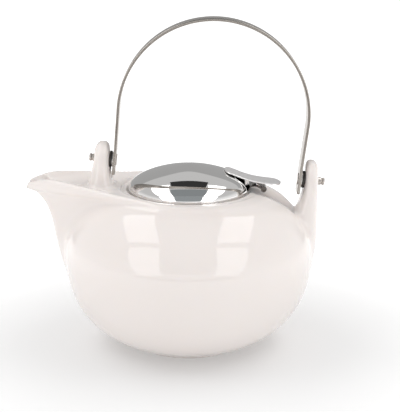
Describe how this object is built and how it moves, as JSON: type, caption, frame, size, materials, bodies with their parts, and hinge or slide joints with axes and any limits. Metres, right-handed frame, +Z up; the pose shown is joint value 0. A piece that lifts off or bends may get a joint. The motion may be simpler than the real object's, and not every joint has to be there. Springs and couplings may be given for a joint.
{
  "type": "teapot with infuser",
  "caption": "Round glazed teapot with a beak spout, hinged domed steel lid on a lift-out infuser basket, and a swinging steel bail handle.",
  "frame": {"origin": "centre of the foot's underside, where the pot stands on the table", "axes": "+Z up, -X towards the spout, +X towards the rear ear, symmetric across Y"},
  "size_m": [0.1928, 0.1612, 0.2133],
  "materials": {
    "glaze": "warm white gloss glaze",
    "mirror_steel": "mirror-polished stainless steel",
    "brushed_steel": "lengthwise brushed stainless steel",
    "satin_steel": "satin stainless steel",
    "bush": "dark moulded liner"
  },
  "bodies": {
    "pot": {"pot_base": "glaze", "pot_bowl_lower": "glaze", "pot_bowl": "glaze", "pot_shoulder": "glaze", "front_ear_bush": "bush", "rear_ear_bush": "bush"},
    "handle": {"bail_strip": "brushed_steel", "front_stud": "satin_steel", "rear_stud": "satin_steel", "front_washer": "satin_steel", "rear_washer": "satin_steel"},
    "infuser": {"infuser_rim": "satin_steel", "infuser_wall": "satin_steel", "infuser_base": "satin_steel", "infuser_base_ring": "satin_steel", "hinge_bracket": "satin_steel", "hinge_pin": "satin_steel"},
    "lid": {"lid_dome": "mirror_steel", "thumb_lever": "brushed_steel", "lid_knuckle": "satin_steel"}
  },
  "joints": [
    {"name": "bail_swing", "type": "hinge", "parent": "pot", "child": "handle", "pos_m": [0.012, 0, 0.1161], "axis": [0.9942, 0, -0.1077], "range_deg": [-95, 95]},
    {"name": "infuser_lift", "type": "slide", "parent": "pot", "child": "infuser", "axis": [0, 0, 1], "range_m": [0, 0.07]},
    {"name": "lid_hinge", "type": "hinge", "parent": "infuser", "child": "lid", "pos_m": [0.0482, 0, 0.1046], "axis": [0, 1, 0], "range_deg": [0, 60]}
  ]
}
